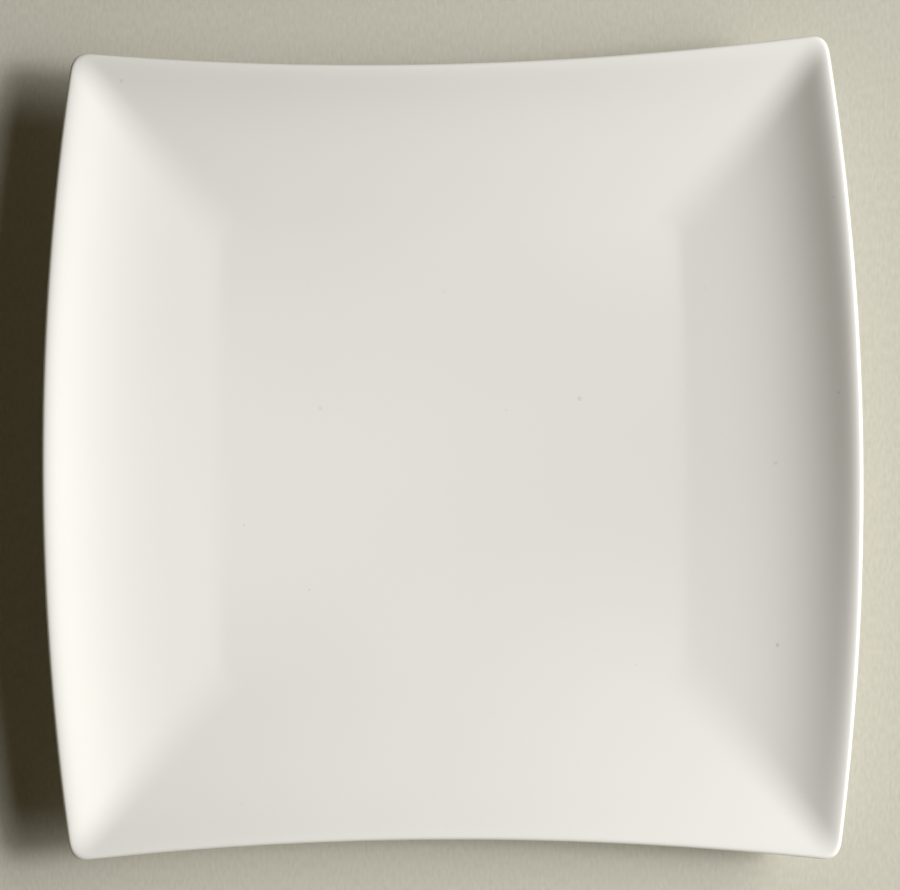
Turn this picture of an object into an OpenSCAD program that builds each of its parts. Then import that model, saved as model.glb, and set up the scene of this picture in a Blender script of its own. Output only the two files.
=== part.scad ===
// Square porcelain salad plate with a waved rim.
// The plate stands on its foot ring at z = 0, centred on the z axis.
// The sides face +X and -X and bow out, and the ends face +Y and -Y and draw in. All four arch up.
// The rim swings and leans, so each corner has its own height: the one at +X +Y is the highest and the one
// at +X -Y the lowest.

/* [Outline] */
// Width across the middles of the two bowed sides
plate_w = 212; // [180:1:260]
// Length across the corners, from end to end
plate_l = 211.8; // [180:0.1:260]
// How far each side stands out at its middle
side_bow = 7.4; // [0:0.1:12]
// How far each end draws in at its middle
end_draw = 6; // [0:0.1:10]
// Reach of the rim's corner curves along the sides, seen from above
rim_corner = 5.5; // [3:0.1:16]
// How gently the corner curves come in from the sides: 2 is a plain arc
corner_power = 3; // [2:0.1:4]

/* [Rim] */
// Height of the rim at the middle of the sides
side_rim_h = 21.8; // [17:0.1:30]
// Mean height of the rim at the corners
corner_rim_h = 19.2; // [15:0.1:28]
// Height of the rim at the middle of the ends
end_rim_h = 20; // [15:0.1:28]
// How far two opposite corners lift and the other two drop
rim_swing = 1; // [0:0.1:3]
// How far the rim lifts at the +Y end and drops at the other
end_lean = 1.3; // [0:0.1:2]
// How far the rim lifts at the +X side and drops at the other
side_lean = 0.4; // [0:0.1:2]
// Thickness of the rim's round edge
edge_t = 2.2; // [1.8:0.1:4]
// Breadth over which the wall turns over level at the crown of the rim, at the middle of the sides and ends
roll_w = 1.7; // [0.8:0.1:3]
// How much broader the roll is at the corners, as a share
corner_roll = 0.6; // [0:0.05:1]

/* [Well and walls] */
// Reach of the well from its centre to the crease, at the middle of the sides
well_reach = 61.5; // [54:0.1:72]
// Reach of the well from its centre to the crease, at the middle of the ends
well_end_reach = 59.5; // [54:0.1:72]
// Height of the well at its centre
well_h = 8.2; // [5.6:0.1:9]
// How far the well's centre lies below its crease
well_dish = 2.5; // [0:0.1:3]
// Breadth over which the crease between well and wall is eased
crease_ease = 1.5; // [0.5:0.1:4]
// Reach of the crease's corner curves, seen from above
well_corner = 10; // [8:0.5:24]
// Slope of the wall at the crease, as a share of its slope at the rim
wall_start = 0.19; // [0.05:0.01:0.5]
// How late the wall steepens: 1 is an even curve
wall_lateness = 2.8; // [1:0.1:3]
// Thickness of the plate under the well, glaze included
base_t = 4.2; // [3.4:0.1:5]

/* [Foot ring] */
// Reach of the foot ring's outer side, at the middle of the sides
foot_reach = 57; // [40:0.5:59]
// Width of the foot ring
foot_w = 5; // [4:0.1:8]
// Radius of the curve between the foot ring and the underside
foot_root_r = 1; // [0.5:0.1:1.2]
// Radius of the bearing face's edges
foot_edge_r = 0.5; // [0.2:0.05:0.6]
// Height of the bare clay left on the foot's sides
bare_h = 0.8; // [0.6:0.05:1]

/* [Glaze] */
// Thickness of the glaze
glaze_t = 0.25; // [0.1:0.01:0.4]

/* [Smoothness] */
// Facets along each side and each end
side_steps = 12; // [6:1:16]
// Facets around each corner
corner_steps = 4; // [2:1:6]
// Rings across each wall
wall_steps = 5; // [4:1:9]

/* [Hidden] */

half_w = plate_w / 2;
half_l = plate_l / 2;
crease_h = well_h + well_dish;
foot_inner = foot_reach - foot_w;
root_reach = foot_reach + foot_root_r;

// Reach of the rim's crown and of the start of its roll
edge_r = edge_t / 2;
crown_reach = half_w - edge_r;
roll_reach = 4 * roll_w;
roll_start = crown_reach - roll_reach;

// Rings across each stretch of the section
well_steps = 3;
crease_steps = 2;
roll_steps = 4;
edge_steps = 6;
under_steps = wall_steps + 2;
root_steps = 2;

// Distance out from the crease, eased so that well and wall meet in a soft line
function past_crease(reach) =
    let (d = reach - well_reach) (d + sqrt(d * d + crease_ease * crease_ease)) / 2;

// Shape of the wall, from 0 to 1: it steepens outwards, then turns over level at the crown
wall_run = past_crease(crown_reach);
function wall_curve(q, roll) =
    wall_start * q
    + (1 - wall_start) * wall_run * pow(q / wall_run, wall_lateness + 1) / (wall_lateness + 1)
    - roll * exp((q - wall_run) / roll);
function wall_shape(q, roll) = wall_curve(q, roll) / wall_curve(wall_run, roll);

// Height of the recessed base inside the foot ring, which dishes with the well
function base_h(reach) = well_h - base_t + well_dish * pow(reach / well_reach, 2);

// Point of spoke s on a square of half width 1, with corners of the given reach that are quarters of a
// superellipse, so that no line shows where they start
spokes = 4 * (side_steps + corner_steps);
function quarter_turn(p, turns) = turns == 0 ? p : quarter_turn([-p[1], p[0]], turns - 1);
function corner_curve(angle) = [pow(cos(angle), 2 / corner_power), pow(sin(angle), 2 / corner_power)];
function on_square(s, corner) =
    let (
        per_side = side_steps + corner_steps,
        turns = floor(s / per_side),
        i = s - turns * per_side,
        straight = 1 - corner,
        p = i < side_steps
            ? [1, straight * (2 * i / side_steps - 1)]
            : [straight, straight] + corner * corner_curve(90 * (i - side_steps) / corner_steps)
    )
    quarter_turn(p, turns);

// Rings are rounded squares from the rim in to the crease, with corners that open out on the way, so
// the mitres soften inwards. Inside the crease the rings turn into circles.
function out_share(reach) = min(max(reach - well_reach, 0) / (half_w - well_reach), 1);
function ring_point(reach, s) =
    let (
        corner = well_corner + (rim_corner - well_corner) * out_share(reach),
        square = on_square(s, corner / max(reach, well_reach)),
        roundness = 1 - min(reach / well_reach, 1)
    )
    square + roundness * (square / norm(square) - square);

// Height of the rim on each spoke: an arch along each side and end, a swing from corner to corner and a lean
rim_heights = [
    for (s = [0 : spokes - 1])
        let (p = on_square(s, rim_corner / half_w))
        corner_rim_h
        + (side_rim_h - corner_rim_h) * (1 - p[1] * p[1])
        + (end_rim_h - corner_rim_h) * (1 - p[0] * p[0])
        + rim_swing * p[0] * p[1]
        + side_lean * p[0]
        + end_lean * p[1]
];

// Breadth of the roll on each spoke
roll_widths = [
    for (s = [0 : spokes - 1])
        let (p = on_square(s, rim_corner / half_w)) roll_w * (1 + corner_roll * pow(p[0] * p[1], 2))
];

// Height of the plate's top and underside on spoke s. The well is one smooth dish, level along its crease.
function top_h(reach, s) =
    let (
        q = past_crease(reach),
        p = (reach - q) / well_reach * ring_point(reach, s),
        dish = p[0] * p[0] + p[1] * p[1] - pow(p[0] * p[1], 2)
    )
    well_h + well_dish * dish + (rim_heights[s] - crease_h) * wall_shape(q, roll_widths[s]);
function thickness(reach) =
    let (out = max(reach - well_reach, 0) / (crown_reach - well_reach))
    base_t + (edge_t - base_t) * out;
function under_h(reach, s) = top_h(reach, s) - thickness(reach);

// Seen from above: rings are stretched so that sides bow out, ends draw in and the crease has its reach
well_stretch = well_end_reach / (half_l - end_draw) * half_w / well_reach;
function in_plan(reach, s) =
    let (
        p = reach / half_w * ring_point(reach, s),
        stretch = 1 + (well_stretch - 1) * (1 - out_share(reach))
    )
    [
        p[0] * (half_w - side_bow * p[1] * p[1]),
        p[1] * (half_l - end_draw * (1 - p[0] * p[0])) * stretch
    ];

// Outer face of the coat on spoke s, as [reach, height], from the well over the rim to the foot ring
function coat_section(s) =
    let (
        rim_h = rim_heights[s],
        wall_foot = well_reach + crease_ease,
        root_h = under_h(root_reach, s)
    )
    [
        for (i = [1 : well_steps])
            let (r = (well_reach - crease_ease) * i / well_steps) [r, top_h(r, s)],
        for (i = [1 : crease_steps])
            let (r = well_reach + crease_ease * (2 * i / crease_steps - 1)) [r, top_h(r, s)],
        for (i = [1 : wall_steps])
            let (r = wall_foot + (roll_start - wall_foot) * i / wall_steps) [r, top_h(r, s)],
        for (i = [1 : roll_steps])
            let (r = crown_reach - roll_reach * pow(1 - i / roll_steps, 2)) [r, top_h(r, s)],
        for (i = [1 : edge_steps])
            let (a = 180 * i / edge_steps)
            [crown_reach + edge_r * sin(a), rim_h - edge_r + edge_r * cos(a)],
        for (i = [1 : under_steps - 1])
            let (r = crown_reach - (crown_reach - root_reach) * pow(i / under_steps, 1.5))
            [r, under_h(r, s)],
        for (i = [0 : root_steps])
            let (a = 90 * i / root_steps)
            [root_reach - foot_root_r * sin(a), root_h - foot_root_r * (1 - cos(a))],
        [foot_reach, bare_h]
    ];

// Lower face of the base glaze in section, from the foot ring's inner side to the middle
function base_section() =
    let (inner = foot_inner - foot_root_r)
    [
        [foot_inner, bare_h],
        for (i = [0 : root_steps])
            let (a = 90 * i / root_steps)
            [inner + foot_root_r * cos(a), base_h(inner) - foot_root_r * (1 - sin(a))],
        for (i = [well_steps - 1 : -1 : 1])
            let (r = inner * i / well_steps) [r, base_h(r)]
    ];

// The bare foot, between the two glazes: its sides lie one glaze thickness back
foot_section = [
    for (i = [0 : root_steps])
        let (a = 90 * i / root_steps)
        [
            foot_reach - glaze_t - foot_edge_r * (1 - cos(a)),
            foot_edge_r * (1 - sin(a))
        ],
    for (i = [root_steps : -1 : 0])
        let (a = 90 * i / root_steps)
        [
            foot_inner + glaze_t + foot_edge_r * (1 - cos(a)),
            foot_edge_r * (1 - sin(a))
        ]
];

// A section moved one glaze thickness into the clay, given the points just before and after it
function sunk(section, before, after) =
    let (path = concat([before], section, [after]))
    [
        for (i = [1 : len(section)])
            let (along = path[i + 1] - path[i - 1], back = glaze_t / norm(along))
            path[i] + back * [along[1], -along[0]]
    ];
function coat_inside(s) = sunk(coat_section(s), [0, well_h], [foot_reach, bare_h - foot_edge_r]);
base_inside = sunk(base_section(), [foot_inner, bare_h - foot_edge_r], [0, base_h(0)]);

function reversed(list) = [for (i = [len(list) - 1 : -1 : 0]) list[i]];

// Closed skin over one section per spoke, from a pole at the top to a pole at the bottom
module skin(sections, top_pole_h, bottom_pole_h) {
    rings = len(sections[0]);
    last = 1 + rings * spokes;
    points = concat(
        [[0, 0, top_pole_h]],
        [
            for (i = [0 : rings - 1], s = [0 : spokes - 1])
                let (p = sections[s][i], xy = in_plan(p[0], s)) [xy[0], xy[1], p[1]]
        ],
        [[0, 0, bottom_pole_h]]
    );
    function at(i, s) = 1 + i * spokes + s % spokes;
    faces = [
        for (s = [0 : spokes - 1]) [0, at(0, s + 1), at(0, s)],
        for (i = [0 : rings - 2], s = [0 : spokes - 1])
            each [
                [at(i, s), at(i, s + 1), at(i + 1, s)],
                [at(i, s + 1), at(i + 1, s + 1), at(i + 1, s)]
            ],
        for (s = [0 : spokes - 1]) [last, at(rings - 1, s), at(rings - 1, s + 1)]
    ];
    polyhedron(points, faces, convexity = 6);
}

// Fired clay: the well, the walls and the foot ring in one piece
module porcelain_body()
    color("#e9e2d4")
        skin(
            [for (s = [0 : spokes - 1]) concat(coat_inside(s), foot_section, base_inside)],
            well_h - glaze_t,
            base_h(0) + glaze_t
        );

// Glaze over the well, the walls, the rim and the outer underside, down to the foot
module glaze_coat()
    color("#f3f1ea")
        skin(
            [for (s = [0 : spokes - 1]) concat(coat_section(s), reversed(coat_inside(s)))],
            well_h,
            well_h - glaze_t
        );

// Panel of glaze inside the foot ring
module base_glaze()
    color("#efece4")
        skin(
            [for (s = [0 : spokes - 1]) concat(reversed(base_inside), base_section())],
            base_h(0) + glaze_t,
            base_h(0)
        );

porcelain_body();
glaze_coat();
base_glaze();
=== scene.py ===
"""Square porcelain salad plate with a waved rim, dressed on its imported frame."""
import math

import bpy
import numpy as np
from bpy.props import FloatProperty, FloatVectorProperty, IntProperty, PointerProperty
from mathutils import Euler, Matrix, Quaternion, Vector


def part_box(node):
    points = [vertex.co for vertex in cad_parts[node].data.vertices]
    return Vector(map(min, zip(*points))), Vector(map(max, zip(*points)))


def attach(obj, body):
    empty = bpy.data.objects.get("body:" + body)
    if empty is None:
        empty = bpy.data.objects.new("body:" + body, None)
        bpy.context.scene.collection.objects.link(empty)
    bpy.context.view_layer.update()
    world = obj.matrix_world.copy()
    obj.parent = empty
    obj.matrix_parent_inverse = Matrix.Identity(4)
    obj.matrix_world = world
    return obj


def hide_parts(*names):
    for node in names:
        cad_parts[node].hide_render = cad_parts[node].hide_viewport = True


bl_info = {
    "name": "Porcelain Salad Plate",
    "version": (1, 0, 0),
    "blender": (4, 5, 0),
    "location": "3D View > Sidebar > Plate",
    "description": "Builds a square glazed plate with a waved rim, its bare foot and a plain stage",
    "category": "Object",
}

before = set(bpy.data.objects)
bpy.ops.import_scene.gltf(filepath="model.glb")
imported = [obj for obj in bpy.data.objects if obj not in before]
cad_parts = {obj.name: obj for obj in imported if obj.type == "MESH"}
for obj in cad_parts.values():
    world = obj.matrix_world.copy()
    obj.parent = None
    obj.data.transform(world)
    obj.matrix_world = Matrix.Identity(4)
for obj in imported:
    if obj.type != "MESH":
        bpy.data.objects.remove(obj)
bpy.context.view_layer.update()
COAT_LOW, COAT_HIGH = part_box("glaze_coat")
_, CLAY_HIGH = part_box("porcelain_body")

MM = 0.001

# Sockets of a colour Mix node, which share their names with its number and vector sockets.
MIX_SHARE = 0
MIX_FIRST = 6
MIX_SECOND = 7
MIX_COLOUR = 2


def linear(hex_colour):
    """Linear RGBA of an sRGB hex colour."""
    channels = [int(hex_colour[i:i + 2], 16) / 255 for i in (1, 3, 5)]
    return [c / 12.92 if c <= 0.04045 else ((c + 0.055) / 1.055) ** 2.4 for c in channels] + [1.0]


def number(name, description, default, **options):
    """A number for the panel."""
    return FloatProperty(name=name, description=description, default=default, **options)


def metres(name, description, default):
    """A length in metres for the panel."""
    return number(name, description, default, unit="LENGTH", precision=5)


def angle(name, description, degrees):
    """An angle for the panel, written in degrees."""
    return number(name, description, math.radians(degrees), unit="ROTATION")


def watts(name, description, default):
    """A lamp's power for the panel."""
    return number(name, description, default, unit="POWER")


def colour(name, description, hex_colour):
    """A colour for the panel, written as sRGB hex."""
    return FloatVectorProperty(
        name=name,
        description=description,
        default=linear(hex_colour),
        size=4,
        min=0,
        max=1,
        subtype="COLOR",
    )


class PlateShape(bpy.types.PropertyGroup):
    """Sizes of the plate"""

    width: metres("Width", "Across the middles of the two bowed sides", COAT_HIGH.x - COAT_LOW.x)
    length: metres("Length", "Across the corners, from end to end", 211.9 * MM)
    side_bow: metres("Side bow", "How far each side stands out at its middle", 7.4 * MM)
    end_draw: metres("End draw", "How far each end draws in at its middle", 5.6 * MM)
    rim_corner: metres("Rim corner", "Reach of the rim's corner curves along the sides", 6 * MM)
    side_height: metres("Side height", "Height of the rim at the middle of the sides", 21.8 * MM)
    corner_height: metres("Corner height", "Mean height of the rim at the corners", 19.2 * MM)
    end_height: metres("End height", "Height of the rim at the middle of the ends", 20 * MM)
    rim_swing: metres(
        "Rim swing", "How far two opposite corners lift and the other two drop", 1 * MM
    )
    end_lean: metres(
        "End lean", "How far the rim lifts at the +Y end and drops at the other", 1.3 * MM
    )
    side_lean: metres(
        "Side lean", "How far the rim lifts at the +X side and drops at the other", 0.4 * MM
    )
    edge: metres("Edge", "Thickness of the rim's round edge", 2.2 * MM)
    roll: metres("Roll", "Breadth over which the wall turns over level at the crown", 1.7 * MM)
    well_reach: metres(
        "Well reach", "From the centre to the crease, at the middle of the sides", 61.5 * MM
    )
    well_end: metres(
        "Well end", "From the centre to the crease, at the middle of the ends", 59.5 * MM
    )
    well_height: metres("Well height", "Height of the well at its centre", 8.2 * MM)
    well_dish: metres("Well dish", "How far the well's centre lies below its crease", 2.5 * MM)
    well_corner: metres(
        "Well corner", "Reach of the crease's corner curves along the sides", 10 * MM
    )
    crease_ease: metres("Crease ease", "Breadth over which the crease is eased", 1.5 * MM)
    base: metres("Base", "Thickness of the plate under the well", 4.2 * MM)
    foot_reach: metres("Foot reach", "From the centre to the foot ring's outer side", 57 * MM)
    foot_width: metres("Foot width", "Width of the foot ring", 5 * MM)
    foot_root: metres("Foot root", "Radius between the foot ring and the underside", 1 * MM)
    foot_edge: metres("Foot edge", "Radius of the bearing face's edges", 0.5 * MM)
    bare: metres("Bare height", "Height of the bare clay on the foot's sides", COAT_LOW.z)
    glaze: metres("Glaze", "Thickness of the glaze", COAT_HIGH.x - CLAY_HIGH.x)
    glaze_wander: metres(
        "Glaze line wander", "How far the wiped edge of the glaze strays", 0.12 * MM
    )
    corner_roll: number(
        "Corner roll", "How much broader the roll is at the corners, as a share", 0.6
    )
    corner_power: number(
        "Corner power", "How gently the corner curves come in: 2 is a plain arc", 3
    )
    wall_start: number(
        "Wall start",
        "Slope of the wall at the crease, as a share of its slope at the roll",
        0.19,
        subtype="FACTOR",
    )
    wall_lateness: number("Wall lateness", "How late the wall steepens: 1 is an even curve", 2.8)
    side_steps: IntProperty(
        name="Side steps", description="Facets along each side and each end", default=48
    )
    corner_steps: IntProperty(
        name="Corner steps", description="Facets around each corner", default=16
    )


class PlateFinish(bpy.types.PropertyGroup):
    """Colours and gloss of the plate"""

    white: colour("Glaze white", "Warm white of the porcelain under the glaze", "#EEECE7")
    pooled: colour("Pooled glaze", "Tone where the glaze lies a little thicker", "#EAE8E3")
    speck: colour("Speck", "Iron specks that fire grey under the glaze", "#D9D6CE")
    clay: colour("Bare clay", "Unglazed porcelain of the foot", "#DDD6C8")
    rubbed: colour("Rubbed clay", "Grey bloom where the foot has slid on tables", "#BDB6A9")
    gloss: number("Gloss roughness", "Roughness of clean glaze", 0.1, subtype="FACTOR")


class StageSettings(bpy.types.PropertyGroup):
    """Floor, light and camera"""

    floor: colour("Floor", "Plain pale floor", "#C6C3B6")
    floor_half: metres("Floor half width", "From the middle of the floor to its edge", 3.0)
    backdrop: colour("Backdrop", "Pale surroundings that the camera and the gloss see", "#BDBBB2")
    fill: number("Fill", "Strength of the even light from all round", 0.055)
    fill_tint: colour(
        "Fill tint", "Warm colour of the even light, as a room sends it back", "#FFEAA8"
    )
    lamp_distance: metres("Lamp distance", "From the plate to both lamps", 1.7)
    lamp_spread: angle("Lamp spread", "How widely both lamps throw: 180 is all round", 120)
    wide_turn: angle("Wide lamp turn", "Where the wide lamp stands, from +X towards +Y", -7.3)
    wide_rise: angle("Wide lamp rise", "How high the wide lamp stands above the floor", 38.1)
    wide_swing: angle("Wide lamp swing", "How far the wide lamp is turned aside", 25.3)
    wide_width: metres("Wide lamp width", "Width of the wide lamp", 1.96)
    wide_height: metres("Wide lamp height", "Height of the wide lamp", 0.78)
    wide_power: watts("Wide lamp power", "Power of the wide lamp", 15.6)
    core_turn: angle("Core lamp turn", "Where the core lamp stands, from +X towards +Y", -0.1)
    core_rise: angle("Core lamp rise", "How high the core lamp stands above the floor", 40.1)
    core_swing: angle("Core lamp swing", "How far the core lamp is turned aside", 0)
    core_width: metres("Core lamp width", "Width of the core lamp", 0.49)
    core_height: metres("Core lamp height", "Height of the core lamp", 0.24)
    core_power: watts("Core lamp power", "Power of the core lamp", 5.7)
    camera_distance: metres("Camera distance", "From the camera to its aim", 0.6)
    camera_view: metres("Camera view", "Width that the picture takes in at the aim", 236.1 * MM)
    camera_aim: FloatVectorProperty(
        name="Camera aim",
        description="Point at the middle of the picture",
        default=(-0.00007, 0.00147, 0.01),
        subtype="TRANSLATION",
        unit="LENGTH",
        precision=5,
    )
    camera_turn: FloatVectorProperty(
        name="Camera turn",
        description="Tilt of the camera away from straight down",
        default=(math.radians(3.5), math.radians(3.34), math.radians(-0.63)),
        subtype="EULER",
    )


class PlateForm:
    """Rings and sections of the plate, worked out from the panel's sizes.

    A section is a pair of arrays, reach from the centre and height, with one row per ring and one
    column per spoke. Spokes run round the plate, from the start of the side that faces +X.
    """

    # Rings in each stretch of a section.
    WELL_RINGS = 16
    CREASE_RINGS = 12
    WALL_RINGS = 26
    ROLL_RINGS = 16
    EDGE_RINGS = 14
    ROOT_RINGS = 6
    # How far the close rings reach, in breadths of the crease's ease and of the roll.
    CREASE_SPAN = 3
    ROLL_SPAN = 4
    # Above 1 it crowds the underside's rings towards the rim, where the wall curves most.
    UNDER_CROWDING = 1.5
    # Waves in one turn round the foot, each with its start, that make up the wiped edge's wander.
    WIPE_WAVES = ((5, 0.4), (13, 2.1), (29, 4.0))

    def __init__(self, shape):
        self.shape = shape
        self.half_w = shape.width / 2
        self.half_l = shape.length / 2
        self.edge_r = shape.edge / 2
        self.crown = self.half_w - self.edge_r
        self.wall_run = self.past_crease(self.crown)
        self.crease_height = shape.well_height + shape.well_dish
        self.foot_inner = shape.foot_reach - shape.foot_width
        end_middle = self.half_l - shape.end_draw
        self.well_stretch = shape.well_end / end_middle * self.half_w / shape.well_reach
        self.quarter_turn = np.linspace(0, math.pi / 2, self.ROOT_RINGS + 1)[:, None]
        self.spoke_hubs, self.spoke_turns = self.spokes()
        self.rim_height, self.roll = self.rim_form()
        self.full_wall = self.wall_shape(self.wall_run)
        self.glaze_line = shape.bare + shape.glaze_wander * self.wander()

    def spokes(self):
        """Each spoke's place on a rounded square: its hub on the square, and its turn at the corner.

        The corners are quarters of a superellipse, so that no line shows where they start.
        """
        along = 2 * np.arange(self.shape.side_steps) / self.shape.side_steps - 1
        turn = np.linspace(0, math.pi / 2, self.shape.corner_steps, endpoint=False)
        curve = np.stack([np.cos(turn), np.sin(turn)], 1) ** (2 / self.shape.corner_power)
        hubs = np.concatenate([np.stack([np.ones_like(along), along], 1), np.ones((len(turn), 2))])
        turns = np.concatenate([np.tile([1.0, 0.0], (len(along), 1)), curve])
        quarter = np.array([[0, 1], [-1, 0]])
        rotations = [np.linalg.matrix_power(quarter, k) for k in range(4)]
        return (
            np.concatenate([hubs @ r for r in rotations]),
            np.concatenate([turns @ r for r in rotations]),
        )

    def on_square(self, corner):
        """Points of the spokes on squares of half width 1, with corner curves of the given reach."""
        corner = np.asarray(corner)[..., None]
        return (1 - corner) * self.spoke_hubs + corner * self.spoke_turns

    def rim_form(self):
        """Height of the rim and breadth of its roll on each spoke."""
        shape = self.shape
        x, y = self.on_square(shape.rim_corner / self.half_w).T
        side_wave = (shape.side_height - shape.corner_height) * (1 - y * y)
        end_wave = (shape.end_height - shape.corner_height) * (1 - x * x)
        lean = shape.side_lean * x + shape.end_lean * y
        height = shape.corner_height + side_wave + end_wave + shape.rim_swing * x * y + lean
        return height, shape.roll * (1 + shape.corner_roll * (x * y) ** 2)

    def wander(self):
        """A slow, uneven wave round the foot, from -1 to 1, for the wiped edge of the glaze."""
        bearing = np.linspace(0, 2 * math.pi, len(self.spoke_hubs), endpoint=False)
        waves = [np.sin(count * bearing + start) for count, start in self.WIPE_WAVES]
        return sum(waves) / len(waves)

    def past_crease(self, reach):
        """Distance out from the crease, eased so that well and wall meet in a soft line."""
        d = reach - self.shape.well_reach
        return (d + np.hypot(d, self.shape.crease_ease)) / 2

    def wall_shape(self, q):
        """Height of the wall before scaling: it steepens outwards, then levels out at the crown."""
        start, late = self.shape.wall_start, self.shape.wall_lateness
        steepening = self.wall_run * (q / self.wall_run) ** (late + 1) / (late + 1)
        turning = self.roll * np.exp((q - self.wall_run) / self.roll)
        return start * q + (1 - start) * steepening - turning

    def out_share(self, reach):
        """How far out a ring lies, from 0 at the crease to 1 at the rim."""
        well_reach = self.shape.well_reach
        return np.clip((reach - well_reach) / (self.half_w - well_reach), 0, 1)

    def ring_points(self, reach):
        """Points of the spokes on rings of half width 1: squares whose corners open out inwards."""
        shape = self.shape
        reach = np.atleast_2d(reach)
        corner = shape.well_corner + (shape.rim_corner - shape.well_corner) * self.out_share(reach)
        square = self.on_square(corner / np.maximum(reach, shape.well_reach))
        # Inside the crease the rings turn into circles, so that their facets meet evenly.
        roundness = 1 - np.clip(reach / shape.well_reach, 0, 1)[..., None]
        circle = square / np.linalg.norm(square, axis=-1, keepdims=True)
        return square + roundness * (circle - square)

    def top_height(self, reach):
        """Height of the plate's top on each spoke, at one reach or a column of them."""
        q = self.past_crease(reach)
        x, y = np.moveaxis(self.ring_points(reach), -1, 0) * (reach - q) / self.shape.well_reach
        dish = x**2 + y**2 - (x * y) ** 2
        rise = (self.rim_height - self.crease_height) * self.wall_shape(q) / self.full_wall
        return self.shape.well_height + self.shape.well_dish * dish + rise

    def under_height(self, reach):
        """Height of the plate's underside."""
        shape = self.shape
        out = np.maximum(reach - shape.well_reach, 0) / (self.crown - shape.well_reach)
        return self.top_height(reach) - shape.base - (shape.edge - shape.base) * out

    def base_height(self, reach):
        """Height of the recessed base inside the foot ring, which dishes with the well."""
        shape = self.shape
        dish = shape.well_dish * (reach / shape.well_reach) ** 2
        return shape.well_height - shape.base + dish

    def section(self, *stretches):
        """Joins stretches of rings, each a pair of reach and height, into one section."""
        spokes = len(self.rim_height)
        wide = [
            [np.broadcast_to(part, (len(reach), spokes)) for part in (reach, height)]
            for reach, height in stretches
        ]
        return join(*wide)

    def in_plan(self, reach):
        """Places seen from above: rounded squares that bow out at the sides and in at the ends."""
        shape = self.shape
        px, py = np.moveaxis(self.ring_points(reach), -1, 0) * reach / self.half_w
        x = px * (self.half_w - shape.side_bow * py**2)
        y = py * (self.half_l - shape.end_draw * (1 - px**2))
        return x, y * (1 + (self.well_stretch - 1) * (1 - self.out_share(reach)))

    def coat_outside(self):
        """Outer face of the coat, from the well over the rim and under it to the foot ring."""
        shape = self.shape
        crease = self.CREASE_SPAN * shape.crease_ease
        roll_start = self.crown - self.ROLL_SPAN * shape.roll
        stops = [0, shape.well_reach - crease, shape.well_reach + crease, roll_start, self.crown]
        counts = [self.WELL_RINGS, self.CREASE_RINGS, self.WALL_RINGS, self.ROLL_RINGS]
        top = np.concatenate(
            [np.linspace(a, b, n + 1)[1:] for a, b, n in zip(stops[:-1], stops[1:], counts)]
        )[:, None]
        turn = np.linspace(0, math.pi, self.EDGE_RINGS + 1)[1:, None]
        root = shape.foot_reach + shape.foot_root
        inwards = np.linspace(0, 1, self.WALL_RINGS + 1)[1:-1, None] ** self.UNDER_CROWDING
        under = self.crown + (root - self.crown) * inwards
        swing = self.quarter_turn
        bead = shape.glaze
        return self.section(
            (top, self.top_height(top)),
            (
                self.crown + self.edge_r * np.sin(turn),
                self.rim_height - self.edge_r + self.edge_r * np.cos(turn),
            ),
            (under, self.under_height(under)),
            (
                root - shape.foot_root * np.sin(swing),
                self.under_height(root) - shape.foot_root * (1 - np.cos(swing)),
            ),
            (
                shape.foot_reach - bead * (1 - np.cos(swing)),
                self.glaze_line + bead * (1 - np.sin(swing)),
            ),
        )

    def base_outside(self):
        """Lower face of the base glaze, from the foot ring's inner side to the middle."""
        shape = self.shape
        swing = self.quarter_turn
        bead = shape.glaze
        inner = self.foot_inner - shape.foot_root
        middle = np.linspace(inner, 0, self.WELL_RINGS + 1)[1:-1, None]
        return self.section(
            (
                self.foot_inner + bead * (1 - np.sin(swing)),
                self.glaze_line + bead * (1 - np.cos(swing)),
            ),
            (
                inner + shape.foot_root * np.cos(swing),
                self.base_height(inner) - shape.foot_root * (1 - np.sin(swing)),
            ),
            (middle, self.base_height(middle)),
        )

    def foot_outside(self):
        """The bare foot between the two glazes, with its sides one glaze thickness back."""
        shape = self.shape
        side = shape.foot_edge * (1 - np.cos(self.quarter_turn))
        drop = shape.foot_edge * (1 - np.sin(self.quarter_turn))
        return self.section(
            (shape.foot_reach - shape.glaze - side, drop),
            (self.foot_inner + shape.glaze + side[::-1], drop[::-1]),
        )

    def coat_inside(self):
        """Inner face of the coat, where it lies on the clay."""
        shape = self.shape
        foot_side = shape.foot_reach - shape.glaze
        return self.sunk(self.coat_outside(), (0, shape.well_height), (foot_side, 0))

    def base_inside(self):
        """Inner face of the base glaze, where it lies on the clay."""
        foot_side = self.foot_inner + self.shape.glaze
        return self.sunk(self.base_outside(), (foot_side, 0), (0, self.base_height(0)))

    def sunk(self, section, before, after):
        """A section moved one glaze thickness into the clay, given the points at its two ends."""
        reach, height = section
        spokes = reach.shape[1]
        path = [
            np.concatenate([np.full((1, spokes), a), part, np.full((1, spokes), b)])
            for part, a, b in zip((reach, height), before, after)
        ]
        run, rise = (part[2:] - part[:-2] for part in path)
        back = self.shape.glaze / np.hypot(run, rise)
        return reach + back * rise, height - back * run


def join(*sections):
    """Several sections one after another."""
    return tuple(np.concatenate(parts) for parts in zip(*sections))


def flipped(section):
    """A section taken in the other direction."""
    return tuple(part[::-1] for part in section)


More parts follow.
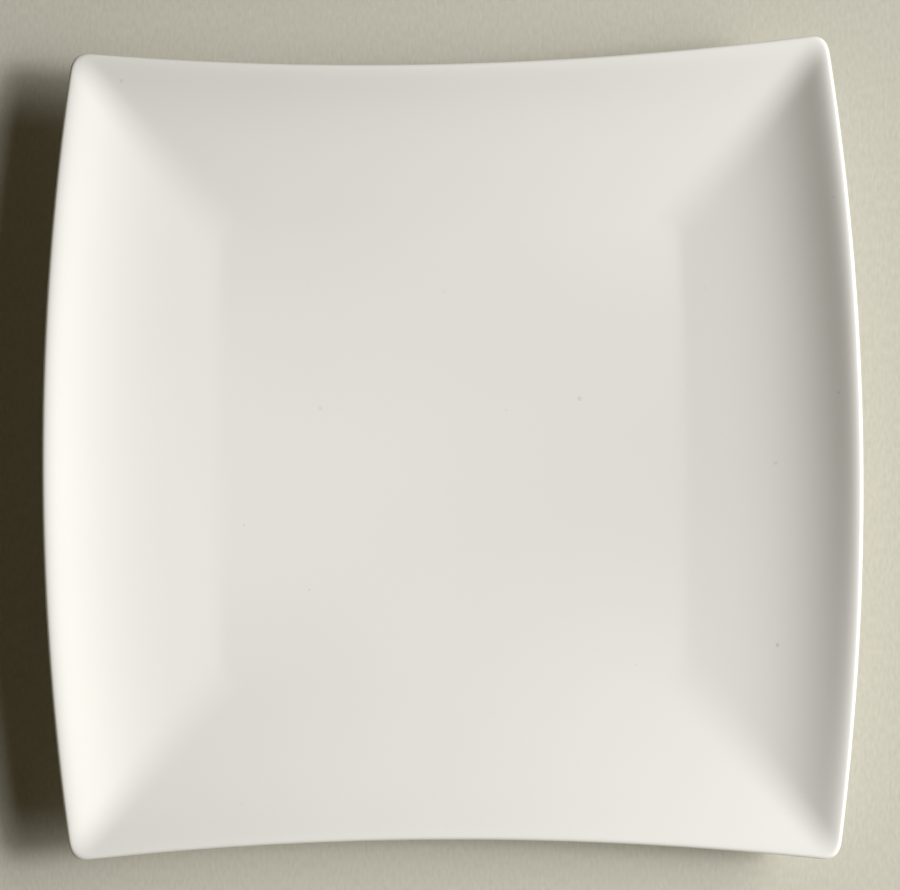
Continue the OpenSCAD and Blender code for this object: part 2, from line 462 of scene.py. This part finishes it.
def skin(name, form, section, top_pole, bottom_pole):
    """One closed mesh over a section that runs from a pole at the top to a pole at the bottom."""
    reach, height = section
    rings, spokes = reach.shape
    x, y = form.in_plan(reach)
    ring_points = np.stack([x, y, height], -1).reshape(-1, 3)
    points = np.concatenate([ring_points, [[0, 0, top_pole], [0, 0, bottom_pole]]])
    start = np.arange(rings * spokes).reshape(rings, spokes)
    after = np.roll(start, -1, axis=1)
    walls = np.stack([start[:-1], start[1:], after[1:], after[:-1]], -1).reshape(-1, 4)
    top, bottom = rings * spokes, rings * spokes + 1
    caps = [(top, a, b) for a, b in zip(start[0], after[0])]
    caps += [(bottom, b, a) for a, b in zip(start[-1], after[-1])]
    mesh = bpy.data.meshes.new(name)
    mesh.from_pydata(points.tolist(), [], walls.tolist() + caps)
    mesh.validate()
    mesh.shade_smooth()
    piece = bpy.data.objects.new(name, mesh)
    bpy.context.scene.collection.objects.link(piece)
    return piece


def add_node(tree, kind, inputs, **settings):
    """Adds a node with its settings, and sets or links its inputs."""
    node = tree.nodes.new(kind)
    for name, value in settings.items():
        setattr(node, name, value)
    for socket, value in inputs.items():
        if isinstance(value, bpy.types.NodeSocket):
            tree.links.new(value, node.inputs[socket])
        else:
            node.inputs[socket].default_value = value
    return node


def new_material(name):
    """An empty node material, with its tree and its output."""
    material = bpy.data.materials.new(name)
    material.use_nodes = True
    tree = material.node_tree
    tree.nodes.clear()
    return material, tree, tree.nodes.new("ShaderNodeOutputMaterial")


def glazed_porcelain(finish):
    """White porcelain under a clear dipped glaze, fired glossy."""
    # The eye sees a warm white that clouds very slightly where the glaze pooled, crisp highlights
    # that waver a little, a few pinpoint iron specks, most of them small and pale, and faint dull
    # strokes left by cutlery.
    cloud_size = 48 * MM
    speck_spacing = 17 * MM
    largest_speck = 0.6 * MM
    # The higher these powers, the fewer specks come near the largest size and the full darkness.
    speck_size_power = 4.0
    speck_depth_power = 2.0
    stroke_length = 30 * MM
    stroke_width = 1.2 * MM
    stroke_slant = math.radians(35)
    # Levels of the noise at which a stroke starts and is full, and the roughness that it adds.
    stroke_start = 0.62
    stroke_full = 0.75
    stroke_dulling = 0.05
    ripple_size = 9 * MM
    ripple_depth = 0.004 * MM
    glaze_ior = 1.5
    material, tree, output = new_material("glazed_porcelain")
    place = add_node(tree, "ShaderNodeTexCoord", {}).outputs["Object"]
    clouds = add_node(
        tree,
        "ShaderNodeTexNoise",
        {"Vector": place, "Scale": 1 / cloud_size, "Detail": 2, "Roughness": 0.45},
    )
    body_tone = add_node(
        tree,
        "ShaderNodeMix",
        {MIX_SHARE: clouds.outputs["Fac"], MIX_FIRST: finish.white, MIX_SECOND: finish.pooled},
        data_type="RGBA",
    )
    specks = add_node(
        tree,
        "ShaderNodeTexVoronoi",
        {"Vector": place, "Scale": 1 / speck_spacing, "Randomness": 1},
        voronoi_dimensions="2D",
    )
    chance = add_node(tree, "ShaderNodeSeparateColor", {"Color": specks.outputs["Color"]})
    speck_size = add_node(
        tree, "ShaderNodeMath", {0: chance.outputs["Red"], 1: speck_size_power}, operation="POWER"
    )
    speck_edge = add_node(
        tree,
        "ShaderNodeMath",
        {0: speck_size.outputs["Value"], 1: largest_speck / speck_spacing},
        operation="MULTIPLY",
    )
    in_speck = add_node(
        tree,
        "ShaderNodeMath",
        {0: specks.outputs["Distance"], 1: speck_edge.outputs["Value"]},
        operation="LESS_THAN",
    )
    speck_depth = add_node(
        tree, "ShaderNodeMath", {0: chance.outputs["Green"], 1: speck_depth_power}, operation="POWER"
    )
    speck_share = add_node(
        tree,
        "ShaderNodeMath",
        {0: in_speck.outputs["Value"], 1: speck_depth.outputs["Value"]},
        operation="MULTIPLY",
    )
    tone = add_node(
        tree,
        "ShaderNodeMix",
        {
            MIX_SHARE: speck_share.outputs["Value"],
            MIX_FIRST: body_tone.outputs[MIX_COLOUR],
            MIX_SECOND: finish.speck,
        },
        data_type="RGBA",
    )
    stretched = add_node(
        tree,
        "ShaderNodeMapping",
        {
            "Vector": place,
            "Rotation": (0, 0, stroke_slant),
            "Scale": (1 / stroke_length, 1 / stroke_width, 1 / stroke_length),
        },
    )
    strokes = add_node(
        tree,
        "ShaderNodeTexNoise",
        {"Vector": stretched.outputs["Vector"], "Scale": 1, "Detail": 1},
    )
    dulling = add_node(
        tree,
        "ShaderNodeMapRange",
        {
            "Value": strokes.outputs["Fac"],
            "From Min": stroke_start,
            "From Max": stroke_full,
            "To Min": finish.gloss,
            "To Max": finish.gloss + stroke_dulling,
        },
    )
    ripples = add_node(
        tree,
        "ShaderNodeTexNoise",
        {"Vector": place, "Scale": 1 / ripple_size, "Detail": 1, "Roughness": 0.4},
    )
    relief = add_node(
        tree,
        "ShaderNodeBump",
        {"Height": ripples.outputs["Fac"], "Strength": 1.0, "Distance": ripple_depth},
    )
    shader = add_node(
        tree,
        "ShaderNodeBsdfPrincipled",
        {
            "Base Color": tone.outputs[MIX_COLOUR],
            "Roughness": dulling.outputs["Result"],
            "IOR": glaze_ior,
            "Normal": relief.outputs["Normal"],
        },
    )
    tree.links.new(shader.outputs["BSDF"], output.inputs["Surface"])
    return material


def wiped_bisque(finish):
    """Bare fired porcelain, wiped clean of glaze and then rubbed on tables."""
    # The eye sees a dry, matt, slightly warm white with a sugary grit and grey rubbed patches. Real
    # grit is about 0.05 mm, so it is drawn several times coarser here to show at all.
    grit_size = 0.4 * MM
    grit_depth = 0.03 * MM
    rub_size = 7 * MM
    # Levels of the noise at which a rubbed patch starts and is full.
    rub_start = 0.45
    rub_full = 0.75
    dry_roughness = 0.8
    porcelain_ior = 1.5
    material, tree, output = new_material("wiped_bisque_porcelain")
    place = add_node(tree, "ShaderNodeTexCoord", {}).outputs["Object"]
    rubs = add_node(
        tree,
        "ShaderNodeTexNoise",
        {"Vector": place, "Scale": 1 / rub_size, "Detail": 4, "Roughness": 0.6},
    )
    rubbed = add_node(
        tree,
        "ShaderNodeMapRange",
        {"Value": rubs.outputs["Fac"], "From Min": rub_start, "From Max": rub_full},
    )
    tone = add_node(
        tree,
        "ShaderNodeMix",
        {MIX_SHARE: rubbed.outputs["Result"], MIX_FIRST: finish.clay, MIX_SECOND: finish.rubbed},
        data_type="RGBA",
    )
    grit = add_node(
        tree, "ShaderNodeTexNoise", {"Vector": place, "Scale": 1 / grit_size, "Detail": 2}
    )
    relief = add_node(
        tree,
        "ShaderNodeBump",
        {"Height": grit.outputs["Fac"], "Strength": 1.0, "Distance": grit_depth},
    )
    shader = add_node(
        tree,
        "ShaderNodeBsdfPrincipled",
        {
            "Base Color": tone.outputs[MIX_COLOUR],
            "Roughness": dry_roughness,
            "IOR": porcelain_ior,
            "Normal": relief.outputs["Normal"],
        },
    )
    tree.links.new(shader.outputs["BSDF"], output.inputs["Surface"])
    return material


def painted_floor(settings):
    """Matt board under the plate, painted with a brush."""
    # The eye sees one plain, slightly warm grey with little shine and faint strokes of the brush.
    stroke_width = 0.8 * MM
    stroke_length = 2.2 * MM
    contrast = 0.13
    matt_roughness = 0.85
    matt_specular = 0.2
    material, tree, output = new_material("matt_painted_board")
    place = add_node(tree, "ShaderNodeTexCoord", {}).outputs["Object"]
    stretched = add_node(
        tree,
        "ShaderNodeMapping",
        {"Vector": place, "Scale": (1 / stroke_width, 1 / stroke_length, 1)},
    )
    strokes = add_node(
        tree,
        "ShaderNodeTexNoise",
        {"Vector": stretched.outputs["Vector"], "Scale": 1, "Detail": 2},
    )
    lighter = [min(c * (1 + contrast), 1.0) for c in settings.floor[:3]] + [1.0]
    darker = [c * (1 - contrast) for c in settings.floor[:3]] + [1.0]
    tone = add_node(
        tree,
        "ShaderNodeMix",
        {MIX_SHARE: strokes.outputs["Fac"], MIX_FIRST: darker, MIX_SECOND: lighter},
        data_type="RGBA",
    )
    shader = add_node(
        tree,
        "ShaderNodeBsdfPrincipled",
        {
            "Base Color": tone.outputs[MIX_COLOUR],
            "Roughness": matt_roughness,
            "Specular IOR Level": matt_specular,
        },
    )
    tree.links.new(shader.outputs["BSDF"], output.inputs["Surface"])
    return material


def dress(piece, node, material):
    """Puts a piece in the place of its frame node, on the plate's one body, with its finish."""
    piece.data.materials.append(material)
    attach(piece, "root")
    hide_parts(node)


def glaze_material(finish):
    """The glaze is one dip, so both glazed pieces share its material."""
    return bpy.data.materials.get("glazed_porcelain") or glazed_porcelain(finish)


class PLATE_OT_porcelain_body(bpy.types.Operator):
    """Build the fired clay, with its bare foot ring"""

    bl_idname = "plate.porcelain_body"
    bl_label = "Porcelain Body"

    def execute(self, context):
        form = PlateForm(context.scene.plate_shape)
        piece = skin(
            "porcelain_clay",
            form,
            join(form.coat_inside(), form.foot_outside(), form.base_inside()),
            form.shape.well_height - form.shape.glaze,
            form.base_height(0) + form.shape.glaze,
        )
        dress(piece, "porcelain_body", wiped_bisque(context.scene.plate_finish))
        return {"FINISHED"}


class PLATE_OT_glaze_coat(bpy.types.Operator):
    """Build the glaze over the well, the walls, the rim and the outer underside"""

    bl_idname = "plate.glaze_coat"
    bl_label = "Glaze Coat"

    def execute(self, context):
        form = PlateForm(context.scene.plate_shape)
        piece = skin(
            "glaze_over_top",
            form,
            join(form.coat_outside(), flipped(form.coat_inside())),
            form.shape.well_height,
            form.shape.well_height - form.shape.glaze,
        )
        dress(piece, "glaze_coat", glaze_material(context.scene.plate_finish))
        return {"FINISHED"}


class PLATE_OT_base_glaze(bpy.types.Operator):
    """Build the panel of glaze inside the foot ring"""

    bl_idname = "plate.base_glaze"
    bl_label = "Base Glaze"

    def execute(self, context):
        form = PlateForm(context.scene.plate_shape)
        piece = skin(
            "glaze_under_base",
            form,
            join(flipped(form.base_inside()), form.base_outside()),
            form.base_height(0) + form.shape.glaze,
            form.base_height(0),
        )
        dress(piece, "base_glaze", glaze_material(context.scene.plate_finish))
        return {"FINISHED"}


class PLATE_OT_stage(bpy.types.Operator):
    """Build the floor, the soft lamps, the pale surroundings and the camera"""

    bl_idname = "plate.stage"
    bl_label = "Stage"

    def execute(self, context):
        settings = context.scene.plate_stage
        scene = context.scene
        scene.view_settings.view_transform = "Standard"
        self.add_floor(scene, settings)
        for lamp in ("wide", "core"):
            self.add_lamp(scene, settings, lamp)
        self.add_surroundings(scene, settings)
        self.add_camera(scene, settings)
        return {"FINISHED"}

    def add_floor(self, scene, settings):
        """A flat floor, level with the bearing face of the foot."""
        half = settings.floor_half
        mesh = bpy.data.meshes.new("floor")
        corners = [(-half, -half, 0), (half, -half, 0), (half, half, 0), (-half, half, 0)]
        mesh.from_pydata(corners, [], [(0, 1, 2, 3)])
        mesh.materials.append(painted_floor(settings))
        floor = bpy.data.objects.new("floor", mesh)
        scene.collection.objects.link(floor)

    def add_lamp(self, scene, settings, name):
        """A soft lamp, which may be turned aside from the plate about its own upright line."""
        turn, rise, swing, width, height, power = (
            getattr(settings, f"{name}_{value}")
            for value in ("turn", "rise", "swing", "width", "height", "power")
        )
        lamp = bpy.data.lights.new(f"{name}_lamp", "AREA")
        lamp.shape = "ELLIPSE"
        lamp.size = width
        lamp.size_y = height
        lamp.spread = settings.lamp_spread
        lamp.energy = power
        stand = bpy.data.objects.new(f"{name}_lamp", lamp)
        towards = Euler((0, -rise, turn)).to_matrix() @ Vector((1, 0, 0))
        stand.location = towards * settings.lamp_distance
        facing = towards.to_track_quat("Z", "Y") @ Quaternion((0, 1, 0), swing)
        stand.rotation_euler = facing.to_euler()
        scene.collection.objects.link(stand)

    def add_surroundings(self, scene, settings):
        """A low even fill, and a pale backdrop for the camera and for what the gloss reflects."""
        world = bpy.data.worlds.new("pale_surroundings")
        scene.world = world
        world.use_nodes = True
        tree = world.node_tree
        tree.nodes.clear()
        output = tree.nodes.new("ShaderNodeOutputWorld")
        rays = add_node(tree, "ShaderNodeLightPath", {})
        camera_or_gloss = add_node(
            tree,
            "ShaderNodeMath",
            {0: rays.outputs["Is Camera Ray"], 1: rays.outputs["Is Glossy Ray"]},
            operation="MAXIMUM",
        )
        seen = add_node(
            tree,
            "ShaderNodeMath",
            {0: camera_or_gloss.outputs["Value"], 1: rays.outputs["Is Transmission Ray"]},
            operation="MAXIMUM",
        )
        fill = add_node(
            tree,
            "ShaderNodeBackground",
            {"Color": settings.fill_tint, "Strength": settings.fill},
        )
        backdrop = add_node(
            tree, "ShaderNodeBackground", {"Color": settings.backdrop, "Strength": 1.0}
        )
        mix = add_node(
            tree,
            "ShaderNodeMixShader",
            {
                0: seen.outputs["Value"],
                1: fill.outputs["Background"],
                2: backdrop.outputs["Background"],
            },
        )
        tree.links.new(mix.outputs["Shader"], output.inputs["Surface"])

    def add_camera(self, scene, settings):
        """A long lens almost straight above the plate."""
        camera = bpy.data.cameras.new("camera")
        camera.sensor_fit = "HORIZONTAL"
        camera.lens = camera.sensor_width * settings.camera_distance / settings.camera_view
        stand = bpy.data.objects.new("camera", camera)
        turn = Euler(settings.camera_turn, "ZYX")
        stand.rotation_mode = "ZYX"
        stand.rotation_euler = turn
        aim = Vector(settings.camera_aim)
        stand.location = aim + turn.to_matrix() @ Vector((0, 0, settings.camera_distance))
        scene.collection.objects.link(stand)
        scene.camera = stand


class PLATE_PT_builder(bpy.types.Panel):
    """Sizes, finish and stage of the plate"""

    bl_idname = "PLATE_PT_builder"
    bl_label = "Salad Plate"
    bl_space_type = "VIEW_3D"
    bl_region_type = "UI"
    bl_category = "Plate"

    def draw(self, context):
        for name, group in GROUPS.items():
            column = self.layout.column(align=True)
            for value in group.__annotations__:
                column.prop(getattr(context.scene, name), value)
        for operator in OPERATORS:
            self.layout.operator(operator.bl_idname)


OPERATORS = (PLATE_OT_porcelain_body, PLATE_OT_glaze_coat, PLATE_OT_base_glaze, PLATE_OT_stage)
GROUPS = {"plate_shape": PlateShape, "plate_finish": PlateFinish, "plate_stage": StageSettings}
CLASSES = (*GROUPS.values(), *OPERATORS, PLATE_PT_builder)


def register():
    """Register the classes and hang the panel's values on the scene."""
    for cls in CLASSES:
        bpy.utils.register_class(cls)
    for name, group in GROUPS.items():
        setattr(bpy.types.Scene, name, PointerProperty(type=group))


def unregister():
    """Undo register."""
    for name in GROUPS:
        delattr(bpy.types.Scene, name)
    for cls in reversed(CLASSES):
        bpy.utils.unregister_class(cls)


def main():
    """Build the plate and its stage."""
    register()
    bpy.ops.plate.porcelain_body()
    bpy.ops.plate.glaze_coat()
    bpy.ops.plate.base_glaze()
    bpy.ops.plate.stage()


if __name__ == "__main__":
    main()
